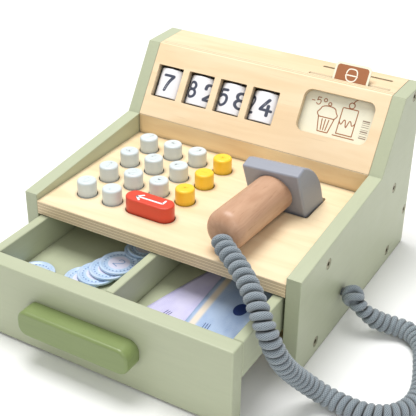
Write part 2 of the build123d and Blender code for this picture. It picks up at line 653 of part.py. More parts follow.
def curly_cord():
    points = [Vector(x, y + FRONT, z) for x, y, z in CORD_ROUTE]
    radii = bend_radii(points)
    print("cord bend radii", [round(radius, 1) for radius in radii])
    with BuildPart() as cord:
        with BuildLine() as route:
            path = FilletPolyline(*points, radius=radii)
        with BuildSketch(Plane(origin=points[0], z_dir=points[1] - points[0])):
            Circle(CORD_OUTER / 2)
        sweep(path=route.wires()[0])
    expected = pi * CORD_OUTER ** 2 / 4 * path.length
    print(f"cord centreline {path.length:.1f} mm, volume {cord.part.volume:.0f}, section x length {expected:.0f}")
    save(cord, "curly_cord")


def cord_tail():
    """The straight end of the strand, through the side panel."""
    with BuildPart() as tail:
        with BuildSketch(SIDE.offset(INNER - 1.4)):
            with Locations((CORD_HOLE_Y, CORD_HOLE_Z)):
                Circle(STRAND / 2)
        extrude(amount=BOARD + 1.7)
    save(tail, "cord_tail")


def cord_knot():
    """The knot that keeps the end of the cord inside the housing."""
    with BuildPart(Plane((INNER - 1.4 - KNOT_RADIUS, FRONT + CORD_HOLE_Y, CORD_HOLE_Z))) as knot:
        Sphere(KNOT_RADIUS)
        with Locations((KNOT_RADIUS, 0, 0)):
            Box(1.2, 4 * KNOT_RADIUS, 4 * KNOT_RADIUS, mode=Mode.SUBTRACT)
    save(knot, "cord_knot")


side_panel("left_side_panel", -1, False)
side_panel("right_side_panel", 1, True)
side_screws()
base_board()
back_panel()
riser_board()
display_panel()
top_board()
keyboard_plate()
plain_board("key_backing", (KEYBED_X[0] + 0.1, KEYBED_X[1] - 0.1), (KEYBED_Y[0] + 0.1, KEYBED_Y[1] - 0.1),
            (PLATE_UNDER, BACKING_TOP), 0.2)
for row, y in enumerate(KEY_ROWS):
    for column, x in enumerate(KEY_COLUMNS):
        if (x, y) in KEY_POSITIONS:
            round_key(f"key_{'abcd'[row]}{column + 1}", x, y)
enter_key()
key_springs()
for number, x in enumerate(DRUM_COLUMNS, start=1):
    number_drum(f"number_drum_{number}", x)
drum_axles()
drum_rail("lower_drum_rail", RAIL_SPANS[0])
drum_rail("upper_drum_rail", RAIL_SPANS[1])
card_pocket_frame()
card_pocket_back()
category_card()
drawer_front()
drawer_handle()
handle_screws()
drawer_boards()
drawer_guides()
play_coins()
play_notes()
scanner_head()
scanner_handle()
curly_cord()
cord_tail()
cord_knot()
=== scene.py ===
"""The look of the toy cash register: its materials, marks, play money, springs and curly cord."""
import json
from math import cos, pi, radians, sin

import bpy
from mathutils import Matrix, Vector


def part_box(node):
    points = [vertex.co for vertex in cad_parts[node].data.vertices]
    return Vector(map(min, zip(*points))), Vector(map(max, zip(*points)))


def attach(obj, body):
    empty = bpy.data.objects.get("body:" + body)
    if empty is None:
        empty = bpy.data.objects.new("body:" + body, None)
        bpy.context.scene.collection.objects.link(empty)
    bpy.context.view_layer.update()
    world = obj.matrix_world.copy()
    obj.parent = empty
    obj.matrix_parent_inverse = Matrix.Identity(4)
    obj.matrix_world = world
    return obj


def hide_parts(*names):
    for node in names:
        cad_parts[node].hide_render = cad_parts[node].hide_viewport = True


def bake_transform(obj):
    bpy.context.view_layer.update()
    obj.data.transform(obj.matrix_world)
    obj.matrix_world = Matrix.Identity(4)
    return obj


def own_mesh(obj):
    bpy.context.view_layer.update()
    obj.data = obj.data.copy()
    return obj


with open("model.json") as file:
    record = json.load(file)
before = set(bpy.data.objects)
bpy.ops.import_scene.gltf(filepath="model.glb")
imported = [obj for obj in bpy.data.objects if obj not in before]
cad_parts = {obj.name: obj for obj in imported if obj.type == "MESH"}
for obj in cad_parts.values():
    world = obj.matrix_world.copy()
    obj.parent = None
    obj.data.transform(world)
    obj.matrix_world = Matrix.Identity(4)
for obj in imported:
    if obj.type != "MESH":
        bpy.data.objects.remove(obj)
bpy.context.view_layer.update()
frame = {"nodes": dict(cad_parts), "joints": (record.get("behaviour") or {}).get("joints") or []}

MM = 0.001
NODES = frame["nodes"]
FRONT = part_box("left_side_panel")[0].y              # the side panels' front edges
UP_Z = Vector((0, 0, 1))
RIGHT = Vector((1, 0, 0))


def joint(name):
    return next(j for j in frame["joints"] if j["name"] == name)


# ---- camera ------------------------------------------------------------------------------------------
CAMERA_AT = Vector((0.3384, -0.5702, 0.4702))
CAMERA_AIM = Vector((-0.0061, 0.0246, 0.0609))
CAMERA_ROLL = radians(0.751)
CAMERA_LENS, SENSOR = 82.05, 36.0


def place_camera():
    data = bpy.data.cameras.new("camera")
    data.lens, data.sensor_width = CAMERA_LENS, SENSOR
    camera = bpy.data.objects.new("camera", data)
    bpy.context.scene.collection.objects.link(camera)
    forward = (CAMERA_AIM - CAMERA_AT).normalized()
    level = forward.cross(UP_Z).normalized()
    upright = level.cross(forward)
    right = level * cos(CAMERA_ROLL) + upright * sin(CAMERA_ROLL)
    up = right.cross(forward)
    turn = Matrix((right, up, -forward)).transposed()
    camera.matrix_world = Matrix.Translation(CAMERA_AT) @ turn.to_4x4()
    bpy.context.scene.camera = camera


place_camera()


# ---- mesh helpers --------------------------------------------------------------------------------------
def new_piece(name, vertices, faces, body=None, materials=(), smooth=True):
    """A mesh object in the row frame that rides on a body."""
    mesh = bpy.data.meshes.new(name)
    mesh.from_pydata([tuple(v) for v in vertices], [], faces)
    mesh.update()
    for polygon in mesh.polygons:
        polygon.use_smooth = smooth
    for material in materials:
        mesh.materials.append(material)
    piece = bpy.data.objects.new(name, mesh)
    bpy.context.scene.collection.objects.link(piece)
    if body:
        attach(piece, body)
    return piece


def carried_frames(points):
    """The tangent and two normals at each point of a line, turned as little as possible on the way."""
    count = len(points)
    tangents = [(points[min(i + 1, count - 1)] - points[max(i - 1, 0)]).normalized() for i in range(count)]
    normal = tangents[0].orthogonal().normalized()
    frames = []
    for tangent in tangents:
        normal = (normal - tangent * normal.dot(tangent)).normalized()
        frames.append((tangent, normal, tangent.cross(normal)))
    return frames


def tube(name, points, radius, sides, body=None, materials=()):
    """A tube with closed ends along points, with a UV map: length along it in metres, and once round."""
    frames = carried_frames(points)
    vertices, faces = [], []
    for point, (_, normal, side) in zip(points, frames):
        for k in range(sides):
            angle = 2 * pi * k / sides
            vertices.append(point + (normal * cos(angle) + side * sin(angle)) * radius)
    for i in range(len(points) - 1):
        for k in range(sides):
            after = (k + 1) % sides
            faces.append((i * sides + k, i * sides + after, (i + 1) * sides + after, (i + 1) * sides + k))
    last = (len(points) - 1) * sides
    faces.append(tuple(reversed(range(sides))))
    faces.append(tuple(range(last, last + sides)))
    piece = new_piece(name, vertices, faces, body, materials)
    along = [0.0]
    for a, b in zip(points, points[1:]):
        along.append(along[-1] + (b - a).length)
    layer = piece.data.uv_layers.new(name="length")
    for polygon in piece.data.polygons:
        ring = [piece.data.loops[i].vertex_index for i in polygon.loop_indices]
        wraps = len({v % sides for v in ring}) == 2 and {0, sides - 1} == {v % sides for v in ring}
        for loop, vertex in zip(polygon.loop_indices, ring):
            around = vertex % sides
            around = sides if wraps and around == 0 else around
            layer.data[loop].uv = (along[vertex // sides], around / sides)
    return piece


# ---- cord ------------------------------------------------------------------------------------------------
STRAND = 0.0058
COIL_RADIUS = 0.0051                                # strand's centreline from the coil's own axis
COIL_PITCH = 0.0060
STEPS_PER_TURN = 16
ROUTE_FINENESS = 16
PANEL_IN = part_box("right_side_panel")[0].x          # the side panel's inner face
TAIL_INSIDE = 0.0014                                # how far the strand reaches past that face
FIRST_TURN = radians(200)                           # where the helix starts round its axis

# Stretches of the coil, in metres from its start or its end, over which a change comes in.
START_OPENS = (-0.002, 0.0055)                      # from the start: the radius grows
END_OPENS = (0.001, 0.0065)                         # from the end: the radius grows
SLACK_COMES, SLACK_GOES = (0.040, 0.031), (0.016, 0.021)    # from the end: thin and loose turns
LAST_LOOP = (0.0165, 0.0125)                        # from the end: one wide loop at the panel
HANGING = (0.100, 0.030)                            # from the start: turns drawn apart by their weight

# The coil's axis, in metres: x, distance behind the side panels' front edges, z.
CORD_ROUTE = [
    (0.0560, 0.0066, 0.0992), (0.0578, 0.0024, 0.0986), (0.0632, -0.0028, 0.0984),
    (0.0712, -0.0088, 0.0980), (0.0815, -0.0162, 0.0970), (0.0920, -0.0244, 0.0950),
    (0.1020, -0.0330, 0.0924), (0.1110, -0.0410, 0.0880), (0.1188, -0.0466, 0.0802),
    (0.1252, -0.0485, 0.0695), (0.1298, -0.0458, 0.0570), (0.1332, -0.0390, 0.0440),
    (0.1375, -0.0295, 0.0310), (0.1445, -0.0202, 0.0185), (0.1550, -0.0150, 0.0098),
    (0.1690, -0.0158, 0.0086), (0.1840, -0.0162, 0.0085), (0.1980, -0.0120, 0.0086),
    (0.2080, -0.0015, 0.0085), (0.2125, 0.0130, 0.0086), (0.2115, 0.0290, 0.0085),
    (0.2070, 0.0450, 0.0086), (0.2015, 0.0610, 0.0085), (0.1955, 0.0765, 0.0086),
    (0.1850, 0.0875, 0.0085), (0.1710, 0.0894, 0.0088), (0.1610, 0.0852, 0.0108),
    (0.1525, 0.0812, 0.0150), (0.1455, 0.0776, 0.0215), (0.1395, 0.0748, 0.0290),
    (0.1360, 0.0764, 0.0325), (0.1342, 0.0800, 0.0306), (0.1310, 0.0820, 0.0300),
    (0.1244, 0.0820, 0.0300),
]


def spline_line(name, points, fineness):
    """The points of a smooth NURBS line through the row frame, read back from a curve with no bevel."""
    curve = bpy.data.curves.new(name, "CURVE")
    curve.dimensions = "3D"
    curve.resolution_u = fineness
    spline = curve.splines.new("NURBS")
    spline.points.add(len(points) - 1)
    for target, point in zip(spline.points, points):
        target.co = (*point, 1.0)
    spline.order_u = 3
    spline.use_endpoint_u = True
    holder = bpy.data.objects.new(name, curve)
    bpy.context.scene.collection.objects.link(holder)
    bpy.context.view_layer.update()
    mesh = bpy.data.meshes.new_from_object(holder)
    line = [Vector(v.co) for v in mesh.vertices]
    bpy.data.objects.remove(holder)
    bpy.data.meshes.remove(mesh)
    return line


def evenly(line, step):
    """Points a step apart along a line."""
    spaced, left = [line[0].copy()], step
    for a, b in zip(line, line[1:]):
        run = (b - a).length
        while left <= run:
            spaced.append(a.lerp(b, left / run))
            left += step
        left -= run
    return spaced


def smooth_step(value, low, high):
    t = min(1.0, max(0.0, (value - low) / (high - low)))
    return t * t * (3 - 2 * t)


def coil_shape(to_start, to_end):
    """The coil's radius and pitch, from the distances to its two ends."""
    radius = COIL_RADIUS * smooth_step(to_start, *START_OPENS) * smooth_step(to_end, *END_OPENS)
    slack = smooth_step(to_end, *SLACK_COMES) * smooth_step(to_end, *SLACK_GOES)
    last_loop = smooth_step(to_end, *LAST_LOOP)
    hanging = smooth_step(to_start, *HANGING)
    wider = 1 - 0.28 * slack + 0.22 * last_loop
    longer = 1 + 0.20 * slack + 0.32 * hanging
    return radius * wider, COIL_PITCH * longer


def strand_path():
    """The centreline of the cord's strand: round and round the coil's axis, then through the side panel."""
    route = [Vector((x, FRONT + y, z)) for x, y, z in CORD_ROUTE]
    step = COIL_PITCH / STEPS_PER_TURN
    axis = evenly(spline_line("cord_route", route, ROUTE_FINENESS), step)
    total = step * (len(axis) - 1)
    path, angle = [], FIRST_TURN
    for i, (point, (_, normal, side)) in enumerate(zip(axis, carried_frames(axis))):
        radius, pitch = coil_shape(i * step, total - i * step)
        path.append(point + (normal * cos(angle) + side * sin(angle)) * radius)
        angle -= 2 * pi * step / pitch
    end = axis[-1]
    through = end.x - PANEL_IN + TAIL_INSIDE
    steps = 6
    path += [end - RIGHT * (through * k / steps) for k in range(1, steps + 1)]
    return path


def knot_path(centre, size, count=54):
    """A closed overhand knot about a point, tied round the X axis."""
    path = []
    for k in range(count + 1):
        t = 2 * pi * k / count
        path.append(centre + Vector((-sin(3 * t), sin(t) + 2 * sin(2 * t), cos(t) - 2 * cos(2 * t))) * size)
    return path


# ---- material helpers ----------------------------------------------------------------------------------
def srgb(red, green, blue):
    """A colour as seen on screen, 0 to 255, in the scene's linear values."""
    values = [c / 255 for c in (red, green, blue)]
    return tuple(c / 12.92 if c <= 0.04045 else ((c + 0.055) / 1.055) ** 2.4 for c in values) + (1.0,)


SHADE = (0.02, 0.015, 0.01, 1)                      # the colour of the painted shade deep in a groove


class Finish:
    """A material with short calls for its nodes."""

    def __init__(self, name, roughness, coat=0.0, sheen=0.0):
        self.material = bpy.data.materials.new(name)
        self.material.use_nodes = True
        self.tree = self.material.node_tree
        self.shader = self.tree.nodes["Principled BSDF"]
        self.shader.inputs["Roughness"].default_value = roughness
        self.shader.inputs["Coat Weight"].default_value = coat
        self.shader.inputs["Coat Roughness"].default_value = 0.25
        self.shader.inputs["Sheen Weight"].default_value = sheen

    def add(self, kind, inputs, output=0, **settings):
        made = self.tree.nodes.new("ShaderNode" + kind)
        for key, value in settings.items():
            setattr(made, key, value)
        for key, value in inputs.items():
            if isinstance(value, bpy.types.NodeSocket):
                self.tree.links.new(value, made.inputs[key])
            else:
                made.inputs[key].default_value = value
        return made.outputs[output]

    def point(self):
        return self.add("TexCoord", {}, "Object")

    def uv(self):
        return self.add("TexCoord", {}, "UV")

    def along(self, direction, of=None):
        """How far along a direction each point lies."""
        inputs = {0: of or self.point(), 1: tuple(direction)}
        return self.add("VectorMath", inputs, "Value", operation="DOT_PRODUCT")

    def maths(self, operation, a, b=0.0):
        return self.add("Math", {0: a, 1: b}, operation=operation)

    def noise(self, vector, scale, detail=3.0, distortion=0.0):
        inputs = {"Vector": vector, "Scale": scale, "Detail": detail, "Distortion": distortion}
        return self.add("TexNoise", inputs)

    def scaled(self, factors):
        return self.add("Mapping", {"Vector": self.point(), "Scale": factors})

    def between(self, value, low, high):
        """0 below low and 1 above high, with a smooth change."""
        inputs = {"Value": value, "From Min": low, "From Max": high}
        return self.add("MapRange", inputs, interpolation_type="SMOOTHSTEP")

    def share(self, value, low, high, most):
        """0 below low and the given share above high, with a smooth change."""
        return self.maths("MULTIPLY", self.between(value, low, high), most)

    def mixed(self, factor, first, second):
        return self.add("Mix", {0: factor, 6: first, 7: second}, 2, data_type="RGBA")

    def colour(self, value, crevice_shade=0.0, reach=0.004):
        """The base colour, with painted shade: darkened by a share in grooves and corners nearer than reach.
        """
        if crevice_shade:
            # painted shade: ambient occlusion darkens the colour in grooves and corners
            openness = self.add("AmbientOcclusion", {"Distance": reach}, 1, samples=6)
            depth = self.maths("MULTIPLY", self.maths("SUBTRACT", 1.0, openness), crevice_shade)
            value = self.mixed(depth, value, SHADE)
        self.tree.links.new(value, self.shader.inputs["Base Color"])

    def rough(self, value, low, high):
        """Roughness that follows a 0 to 1 value between two limits."""
        spread = self.add("MapRange", {"Value": value, "To Min": low, "To Max": high})
        self.tree.links.new(spread, self.shader.inputs["Roughness"])

    def relief(self, height, depth, under=None):
        """A bump of that depth in metres, on top of another one."""
        inputs = {"Height": height, "Distance": depth, "Strength": 1.0}
        if under is not None:
            inputs["Normal"] = under
        made = self.add("Bump", inputs)
        self.tree.links.new(made, self.shader.inputs["Normal"])
        return made


def shade_of(colour, factor):
    """A linear colour, lighter or darker."""
    return (*(Vector(colour[:3]) * factor), 1)


def painted(name, colour, grain=(1, 0, 0), variation=0.05, roughness=0.42):
    """Satin paint over wood: its grain shows through, the coat has a fine orange peel, and grooves and
    corners get painted shade.
    """
    finish = Finish(name, roughness, coat=0.12)
    grain = Vector(grain)
    stretch = tuple(30 + 320 * (1 - abs(g)) for g in grain)
    fibres = finish.noise(finish.scaled(stretch), 1.0, 5.0, 0.4)
    cloud = finish.noise(finish.point(), 14.0, 4.0)
    tone = finish.mixed(cloud, shade_of(colour, 1 - variation), shade_of(colour, 1 + variation))
    tone = finish.mixed(finish.between(fibres, 0.25, 0.9), tone, shade_of(colour, 1 - 1.2 * variation))
    # painted shade, 0.45 deep, in grooves and corners
    finish.colour(tone, 0.45)
    peel = finish.noise(finish.point(), 900.0, 2.0)
    finish.rough(finish.noise(finish.point(), 55.0, 4.0), roughness - 0.07, roughness + 0.10)
    finish.relief(peel, 0.00003, finish.relief(fibres, 0.00012))
    return finish.material


BIRCH_LIGHT, BIRCH_DARK = srgb(240, 220, 184), srgb(228, 203, 163)
PLY_PALE, PLY_BROWN, GLUE = srgb(240, 220, 184), srgb(206, 180, 142), srgb(112, 92, 70)
FLECK = srgb(196, 164, 122)


def plywood(name, layers, start, thickness, plies, grain, light=BIRCH_LIGHT, dark=BIRCH_DARK):
    """Lacquered birch plywood: figured faces, edges that show plies with dark glue lines between, and painted
    shade in grooves and corners.
    layers is the direction across the plies, start is how far along it the board begins, and grain is
    the direction of the face's grain."""
    finish = Finish(name, 0.5, coat=0.08)
    layers, grain = Vector(layers), Vector(grain)
    sideways = layers.cross(grain)
    depth = finish.maths("SUBTRACT", finish.along(layers), start)
    lengthwise, crosswise = finish.along(grain), finish.along(sideways)

    def stretched(lengthwise_scale, crosswise_scale):
        return finish.add("CombineXYZ", {0: finish.maths("MULTIPLY", lengthwise, lengthwise_scale),
                                         1: finish.maths("MULTIPLY", crosswise, crosswise_scale), 2: depth})
    figure_at, fibre_at = stretched(9.0, 52.0), stretched(55.0, 1400.0)
    figure = finish.noise(figure_at, 1.0, 5.0, 0.9)
    fibres = finish.noise(fibre_at, 1.0, 3.0, 0.2)
    flecks = finish.between(finish.noise(fibre_at, 0.45, 2.0, 0.1), 0.62, 0.80)
    face = finish.mixed(finish.between(figure, 0.32, 0.72), light, dark)
    face = finish.mixed(finish.maths("MULTIPLY", flecks, 0.30), face, FLECK)
    face = finish.mixed(finish.share(fibres, 0.45, 0.75, 0.20), face, dark)
    ply = finish.maths("DIVIDE", depth, thickness / plies)
    crossing = finish.between(finish.maths("PINGPONG", ply, 1.0), 0.46, 0.54)
    banding = finish.maths("GREATER_THAN", finish.maths("FRACT", finish.maths("MULTIPLY", ply, 0.5)), 0.5)
    seam = finish.maths("PINGPONG", ply, 0.5)
    glue = finish.maths("SUBTRACT", 1.0, finish.between(seam, 0.0, 0.13))
    ends = finish.noise(finish.point(), 2200.0, 3.0)
    streaks = finish.mixed(finish.share(ends, 0.4, 0.7, 0.5), PLY_PALE, PLY_BROWN)
    edge = finish.mixed(finish.maths("MULTIPLY", banding, 0.75), streaks, PLY_BROWN)
    edge = finish.mixed(finish.maths("MULTIPLY", glue, 0.8), edge, GLUE)
    outward = finish.maths("ABSOLUTE", finish.along(layers, finish.add("NewGeometry", {}, "Normal")))
    on_face = finish.between(outward, 0.55, 0.75)
    # painted shade, 0.75 deep, in grooves, slots and corners
    finish.colour(finish.mixed(on_face, edge, face), 0.75)
    finish.rough(figure, 0.42, 0.58)
    finish.relief(fibres, 0.00004, finish.relief(finish.maths("MULTIPLY", glue, crossing), -0.00004))
    return finish.material


def beech(name, grain):
    """Oiled beech: warm and even, with the short dark flecks of its rays along the grain."""
    finish = Finish(name, 0.42, coat=0.10)
    stretch = tuple(70 + 760 * (1 - abs(g)) for g in Vector(grain))
    rays = finish.noise(finish.scaled(stretch), 1.0, 2.0, 0.1)
    figure = finish.noise(finish.scaled(tuple(s / 7 for s in stretch)), 1.0, 4.0, 1.2)
    cloud = finish.noise(finish.point(), 38.0, 4.0)
    tone = finish.mixed(finish.between(figure, 0.3, 0.75), srgb(200, 160, 130), srgb(184, 142, 112))
    tone = finish.mixed(finish.share(cloud, 0.45, 0.75, 0.45), tone, srgb(172, 128, 98))
    tone = finish.mixed(finish.share(rays, 0.58, 0.74, 0.32), tone, srgb(156, 110, 80))
    finish.colour(tone)
    finish.rough(rays, 0.36, 0.50)
    finish.relief(rays, -0.00005)
    return finish.material


YARN_PITCH, YARNS = 0.0015, 12                      # along the cord, and round it


def braid(name):
    """The cord's woven sleeve: two sets of yarns that cross at a slant, with a painted highlight on each
    yarn's crest, painted shade in the gaps between them, and painted shade where the coil's turns crowd
    together.
    """
    finish = Finish(name, 0.82, sheen=0.35)
    split = finish.add("SeparateXYZ", {0: finish.uv()}, 0)
    around = split.node.outputs[1]
    length = finish.maths("MULTIPLY", split, 2 * pi / YARN_PITCH)
    turn = finish.maths("MULTIPLY", around, 2 * pi * YARNS)
    one = finish.maths("SINE", finish.maths("ADD", length, turn))
    other = finish.maths("SINE", finish.maths("SUBTRACT", length, turn))
    weave = finish.maths("MAXIMUM", one, other)
    fuzz = finish.noise(finish.point(), 1800.0, 4.0)
    # painted highlight on the yarns' crests and painted shade in the gaps between them, following the weave's
    # relief
    lit_yarn_crests = finish.between(weave, -0.2, 0.95)
    low, high = srgb(84, 95, 102), srgb(155, 166, 173)
    tone = finish.mixed(lit_yarn_crests, low, high)
    tone = finish.mixed(finish.share(fuzz, 0.45, 0.8, 0.3), tone, srgb(168, 178, 186))
    worn = finish.noise(finish.point(), 30.0, 3.0)
    # painted shade, 0.85 deep, between the coil's crowded turns
    finish.colour(finish.mixed(finish.share(worn, 0.4, 0.8, 0.25), tone, srgb(116, 127, 140)), 0.85, 0.0022)
    finish.relief(fuzz, 0.00007, finish.relief(weave, 0.00016))
    return finish.material


def metal(name, colour, roughness, brushing=(1, 1, 1), crevice_shade=0.0):
    """Metal with fine scratches and a slightly uneven tone, darkened in its sockets by a painted shade of the
    given share.
    """
    finish = Finish(name, roughness)
    finish.shader.inputs["Metallic"].default_value = 1.0
    scratches = finish.noise(finish.scaled(tuple(400 * b for b in brushing)), 1.0, 4.0)
    # painted shade in sockets, as deep as the given share
    finish.colour(finish.mixed(scratches, shade_of(colour, 0.75), shade_of(colour, 1.25)), crevice_shade, 0.0022)
    finish.rough(scratches, roughness - 0.1, roughness + 0.15)
    finish.relief(scratches, 0.00002)
    return finish.material


def card_stock(name, colour, tint):
    """Matt printed board, with short fibres and a slight mottle."""
    finish = Finish(name, 0.62)
    fibres = finish.noise(finish.point(), 1300.0, 5.0)
    cloud = finish.noise(finish.point(), 60.0, 3.0)
    tone = finish.mixed(cloud, colour, tint)
    finish.colour(finish.mixed(finish.share(fibres, 0.5, 0.8, 0.3), tone, tint))
    finish.relief(fibres, 0.00002)
    return finish.material


SAGE = srgb(178, 184, 155)
OLIVE = srgb(126, 142, 88)
PEARL = srgb(207, 216, 217)
YELLOW = srgb(250, 204, 50)
RED = srgb(214, 66, 40)
WHITE = srgb(238, 238, 242)
GREY = srgb(148, 151, 161)
INK = srgb(66, 72, 90)
CREAM = srgb(238, 234, 212)
BROWN = srgb(166, 104, 62)
TOP_TONES = (srgb(232, 208, 172), srgb(222, 194, 154))
UPRIGHT_TONES = (srgb(240, 216, 172), srgb(224, 192, 146))
SLOPE_TONES = (srgb(240, 216, 180), srgb(230, 202, 162))
ROUND_KEYS = [f"key_{row}{column}" for row in "abcd" for column in (1, 2, 3, 4)
              if f"key_{row}{column}" in NODES]

TILT = joint("number_drum_1_turn")["axis"]
UP_SLOPE = Vector(TILT).normalized() * (1 if TILT[2] > 0 else -1)
OUT_OF_SLOPE = UP_SLOPE.cross(RIGHT) * -1
FOOT_OF_SLOPE = Vector((0, FRONT + 0.148, 0.1007))
DISPLAY_THICK, RAIL_THICK, POCKET_THICK = 0.006, 0.0157, 0.003
ALONG_Y = (0, 1, 0)


def facing_start(thickness, depth=0.0):
    """Where a board that lies along the slope begins, measured out of the slope."""
    return FOOT_OF_SLOPE.dot(OUT_OF_SLOPE) - depth - thickness


def dress(node, material):
    """Give a CAD node its finish."""
    piece = NODES[node]
    piece.data.materials.clear()
    piece.data.materials.append(material)
    for polygon in piece.data.polygons:
        polygon.material_index = 0


def dress_painted():
    sage_x, sage_y = painted("sage_x", SAGE, RIGHT, 0.035), painted("sage_y", SAGE, ALONG_Y, 0.035)
    for node in ("left_side_panel", "right_side_panel", "drawer_left_wall", "drawer_right_wall",
                 "drawer_divider", "drawer_floor"):
        dress(node, sage_y)
    for node in ("drawer_front", "drawer_back_wall"):
        dress(node, sage_x)
    dress("drawer_handle", painted("olive", OLIVE, RIGHT, 0.05, 0.36))
    pearl, yellow = painted("pearl", PEARL, UP_Z, 0.02, 0.34), painted("yellow", YELLOW, UP_Z, 0.04, 0.34)
    for key in ROUND_KEYS:
        dress(key, yellow if key.endswith("4") else pearl)
    dress("enter_key", painted("red", RED, RIGHT, 0.05, 0.36))
    white = painted("drum_white", WHITE, UP_SLOPE, 0.01, 0.38)
    for number in range(1, 5):
        dress(f"number_drum_{number}", white)
    dress("scanner_head", painted("grey", GREY, RIGHT, 0.04, 0.40))


def dress_plywood():
    level_boards = {"base_board": 9, "top_board": 9, "keyboard_plate": 9, "key_backing": 3, "left_runner": 9,
                    "right_runner": 9}
    for node, plies in level_boards.items():
        low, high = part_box(node)
        tones = TOP_TONES if node == "top_board" else (BIRCH_LIGHT, BIRCH_DARK)
        dress(node, plywood(node + "_ply", UP_Z, low.z, high.z - low.z, plies, RIGHT, *tones))
    upright_boards = {"back_panel": 9, "riser_board": 5, "drawer_stop_block": 9, "drawer_stop_cleat": 5}
    for node, plies in upright_boards.items():
        low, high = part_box(node)
        dress(node, plywood(node + "_ply", ALONG_Y, low.y, high.y - low.y, plies, RIGHT, *UPRIGHT_TONES))
    sloping_boards = {"display_panel": (DISPLAY_THICK, 0.0, 5),
                      "upper_drum_rail": (RAIL_THICK, DISPLAY_THICK, 11),
                      "lower_drum_rail": (RAIL_THICK, DISPLAY_THICK, 11),
                      "card_pocket_frame": (POCKET_THICK, DISPLAY_THICK, 3),
                      "card_pocket_back": (POCKET_THICK, DISPLAY_THICK + POCKET_THICK, 3)}
    for node, (thickness, depth, plies) in sloping_boards.items():
        start = facing_start(thickness, depth)
        dress(node, plywood(node + "_ply", OUT_OF_SLOPE, start, thickness, plies, RIGHT, *SLOPE_TONES))


def dress_the_rest():
    dress("scanner_handle", beech("beech", (0.03, 1, 0.04)))
    dress("category_card", card_stock("card_cream", CREAM, srgb(226, 222, 198)))
    # painted shade deep in the screws' sockets
    bronze = metal("bronze", srgb(150, 146, 122), 0.36, crevice_shade=0.92)
    dress("side_screws", bronze)
    dress("handle_screws", bronze)
    dress("drum_axles", metal("steel", srgb(190, 190, 194), 0.30, (1, 4, 4)))


dress_painted()
dress_plywood()
dress_the_rest()


# ---- drawn marks ------------------------------------------------------------------------------------------
def curve_through(polygon, steps=7):
    """A smooth stroke that follows a short list of control points; a point given twice makes a corner."""
    knots = [Vector(p) for p in polygon]
    line = [knots[0]]
    for i in range(1, len(knots) - 1):
        start = knots[0] if i == 1 else (knots[i - 1] + knots[i]) / 2
        end = knots[-1] if i == len(knots) - 2 else (knots[i] + knots[i + 1]) / 2
        for k in range(1, steps + 1):
            t = k / steps
            line.append(start * (1 - t) ** 2 + knots[i] * 2 * t * (1 - t) + end * t * t)
    if len(knots) == 2:
        line = [knots[0].lerp(knots[1], k / steps) for k in range(steps + 1)]
    return [p for i, p in enumerate(line) if i == 0 or (p - line[i - 1]).length > 1e-6]


def ring(centre, across, up, steps=28):
    return [Vector((centre[0] + across * cos(2 * pi * k / steps), centre[1] + up * sin(2 * pi * k / steps)))
            for k in range(steps + 1)]


def stroke_faces(line, width, vertices, faces):
    """Add a flat stroke with round ends to lists of 2-D points and faces."""
    closed = (line[0] - line[-1]).length < 1e-6
    first = len(vertices)
    count = len(line)
    for i, point in enumerate(line):
        before, after = line[max(i - 1, 0)], line[min(i + 1, count - 1)]
        if closed and i in (0, count - 1):
            before, after = line[-2], line[1]
        ahead = (after - before).normalized()
        aside = Vector((-ahead.y, ahead.x)) * width / 2
        vertices.extend((point + aside, point - aside))
    for i in range(count - 1):
        a = first + 2 * i
        faces.append((a, a + 1, a + 3, a + 2))
    if closed:
        return
    for end, inner in ((0, 1), (count - 1, count - 2)):
        ahead = (line[end] - line[inner]).normalized()
        aside = Vector((-ahead.y, ahead.x))
        base = len(vertices)
        for k in range(9):
            angle = pi * k / 8
            vertices.append(line[end] + (aside * cos(angle) + ahead * sin(angle)) * width / 2)
        faces.append(tuple(reversed(range(base, base + 9))))


def mark(name, strokes, width, place, body, material, lift, areas=()):
    """Strokes and filled areas laid on a surface and raised a little from it. place turns a 2-D point and a
    height into a point of the row frame."""
    flat, faces = [], []
    for stroke in strokes:
        stroke_faces(stroke, width, flat, faces)
    for area in areas:
        faces.append(tuple(range(len(flat), len(flat) + len(area))))
        flat.extend(Vector(p) for p in area)
    count = len(flat)
    top = [place(p.x, p.y, lift) for p in flat]
    foot = [place(p.x, p.y, 0.0) for p in flat]
    edges = {}
    for face in faces:
        for a, b in zip(face, face[1:] + face[:1]):
            edges[(a, b)] = edges.get((a, b), 0) + 1
    walls = [(b, a, a + count, b + count) for a, b in edges if (b, a) not in edges]
    return new_piece(name, top + foot, faces + walls, body, (material,), smooth=False)


